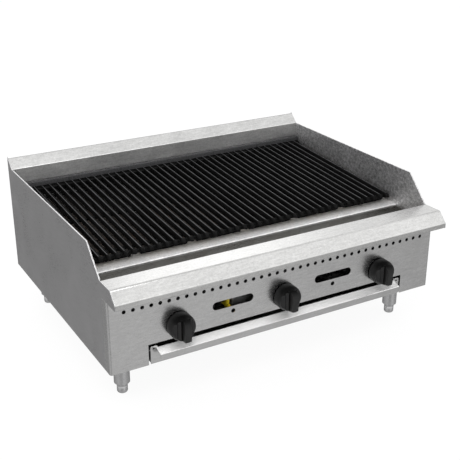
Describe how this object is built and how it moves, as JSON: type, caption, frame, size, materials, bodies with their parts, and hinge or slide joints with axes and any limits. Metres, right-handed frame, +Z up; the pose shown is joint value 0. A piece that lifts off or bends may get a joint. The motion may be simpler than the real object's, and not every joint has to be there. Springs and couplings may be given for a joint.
{
  "type": "charbroiler grill",
  "caption": "Counter-top gas charbroiler with a sloped cast-iron grate in lift-out sections, control knobs, a front ledge, a slide-out drip tray and adjustable legs.",
  "frame": {"origin": "centre of the footprint, on the surface the feet stand on", "axes": "+Z up, the control panel faces -Y, +X to the right of a cook standing in front"},
  "size_m": [0.9144, 0.751, 0.4194],
  "materials": {
    "stainless": "brushed stainless sheet",
    "liner_steel": "mill-finish steel sheet",
    "cast_grate": "seasoned cast iron",
    "cast_burner": "raw cast iron",
    "knob_plastic": "black heat-resistant moulding",
    "brass_fitting": "machined brass",
    "dark_fitting": "blackened fitting",
    "black_pipe": "black iron pipe",
    "zinc_steel": "zinc-plated steel",
    "pilot_alloy": "drawn tube",
    "leg_metal": "plated steel tube"
  },
  "bodies": {
    "chassis": {"back_guard": "stainless", "casing_screws": "zinc_steel", "center_burner": "cast_burner", "center_burner_valve": "brass_fitting", "center_radiant": "cast_burner", "firebox_front_baffle": "liner_steel", "firebox_rear_baffle": "liner_steel", "firebox_side_liners": "liner_steel", "front_control_panel": "stainless", "front_grate_shelf": "liner_steel", "front_ledge": "stainless", "gas_manifold": "black_pipe", "gas_supply_pipe": "black_pipe", "grease_gutter": "liner_steel", "left_base_rail": "liner_steel", "left_burner": "cast_burner", "left_burner_valve": "brass_fitting", "left_pilot_valve": "brass_fitting", "left_radiant": "cast_burner", "left_side_panel": "stainless", "leg_bolts": "zinc_steel", "legs": "leg_metal", "manifold_brackets": "liner_steel", "orifice_hoods": "brass_fitting", "pilot_bracket": "liner_steel", "pilot_burners": "pilot_alloy", "radiant_supports": "liner_steel", "rear_base_channel": "liner_steel", "rear_grate_rail": "liner_steel", "rear_panel": "liner_steel", "right_base_rail": "liner_steel", "right_burner": "cast_burner", "right_burner_valve": "brass_fitting", "right_pilot_valve": "dark_fitting", "right_radiant": "cast_burner", "right_side_panel": "stainless", "tray_runners": "liner_steel"},
    "left_control": {"left_knob": "knob_plastic", "left_valve_stem": "zinc_steel"},
    "center_control": {"center_knob": "knob_plastic", "center_valve_stem": "zinc_steel"},
    "right_control": {"right_knob": "knob_plastic", "right_valve_stem": "zinc_steel"},
    "left_shutter": {"left_air_shutter": "zinc_steel"},
    "center_shutter": {"center_air_shutter": "zinc_steel"},
    "right_shutter": {"right_air_shutter": "zinc_steel"},
    "left_pilot_adjuster": {"left_pilot_screw": "brass_fitting"},
    "right_pilot_adjuster": {"right_pilot_screw": "brass_fitting"},
    "tray": {"drip_tray_pan": "liner_steel", "drip_tray_front": "stainless"},
    "grate_1": {"grate_section_1": "cast_grate"},
    "grate_2": {"grate_section_2": "cast_grate"},
    "grate_3": {"grate_section_3": "cast_grate"},
    "grate_4": {"grate_section_4": "cast_grate"},
    "grate_5": {"grate_section_5": "cast_grate"},
    "grate_6": {"grate_section_6": "cast_grate"},
    "front_left_leveller": {"front_left_foot": "leg_metal"},
    "front_right_leveller": {"front_right_foot": "leg_metal"},
    "rear_left_leveller": {"rear_left_foot": "leg_metal"},
    "rear_right_leveller": {"rear_right_foot": "leg_metal"}
  },
  "joints": [
    {"name": "left_knob_turn", "type": "hinge", "parent": "chassis", "child": "left_control", "pos_m": [-0.286, -0.355, 0.1876], "axis": [0, -1, 0], "range_deg": [0, 90]},
    {"name": "center_knob_turn", "type": "hinge", "parent": "chassis", "child": "center_control", "pos_m": [0, -0.355, 0.1876], "axis": [0, -1, 0], "range_deg": [0, 90]},
    {"name": "right_knob_turn", "type": "hinge", "parent": "chassis", "child": "right_control", "pos_m": [0.286, -0.355, 0.1876], "axis": [0, -1, 0], "range_deg": [0, 90]},
    {"name": "left_shutter_turn", "type": "hinge", "parent": "chassis", "child": "left_shutter", "pos_m": [-0.286, -0.24, 0.1876], "axis": [0, -1, 0], "range_deg": [-60, 60]},
    {"name": "center_shutter_turn", "type": "hinge", "parent": "chassis", "child": "center_shutter", "pos_m": [0, -0.24, 0.1876], "axis": [0, -1, 0], "range_deg": [-60, 60]},
    {"name": "right_shutter_turn", "type": "hinge", "parent": "chassis", "child": "right_shutter", "pos_m": [0.286, -0.24, 0.1876], "axis": [0, -1, 0], "range_deg": [-60, 60]},
    {"name": "left_pilot_turn", "type": "hinge", "parent": "chassis", "child": "left_pilot_adjuster", "pos_m": [-0.143, -0.311, 0.1851], "axis": [0, -1, 0], "range_deg": [0, 180]},
    {"name": "right_pilot_turn", "type": "hinge", "parent": "chassis", "child": "right_pilot_adjuster", "pos_m": [0.143, -0.311, 0.1851], "axis": [0, -1, 0], "range_deg": [0, 180]},
    {"name": "tray_slide", "type": "slide", "parent": "chassis", "child": "tray", "axis": [0, -1, 0], "range_m": [0, 0.5]},
    {"name": "grate_1_lift", "type": "slide", "parent": "chassis", "child": "grate_1", "axis": [0, 0, 1], "range_m": [0, 0.12]},
    {"name": "grate_2_lift", "type": "slide", "parent": "chassis", "child": "grate_2", "axis": [0, 0, 1], "range_m": [0, 0.12]},
    {"name": "grate_3_lift", "type": "slide", "parent": "chassis", "child": "grate_3", "axis": [0, 0, 1], "range_m": [0, 0.12]},
    {"name": "grate_4_lift", "type": "slide", "parent": "chassis", "child": "grate_4", "axis": [0, 0, 1], "range_m": [0, 0.12]},
    {"name": "grate_5_lift", "type": "slide", "parent": "chassis", "child": "grate_5", "axis": [0, 0, 1], "range_m": [0, 0.12]},
    {"name": "grate_6_lift", "type": "slide", "parent": "chassis", "child": "grate_6", "axis": [0, 0, 1], "range_m": [0, 0.12]},
    {"name": "front_left_foot_screw", "type": "slide", "parent": "chassis", "child": "front_left_leveller", "axis": [0, 0, -1], "range_m": [0, 0.02]},
    {"name": "front_right_foot_screw", "type": "slide", "parent": "chassis", "child": "front_right_leveller", "axis": [0, 0, -1], "range_m": [0, 0.02]},
    {"name": "rear_left_foot_screw", "type": "slide", "parent": "chassis", "child": "rear_left_leveller", "axis": [0, 0, -1], "range_m": [0, 0.02]},
    {"name": "rear_right_foot_screw", "type": "slide", "parent": "chassis", "child": "rear_right_leveller", "axis": [0, 0, -1], "range_m": [0, 0.02]}
  ]
}
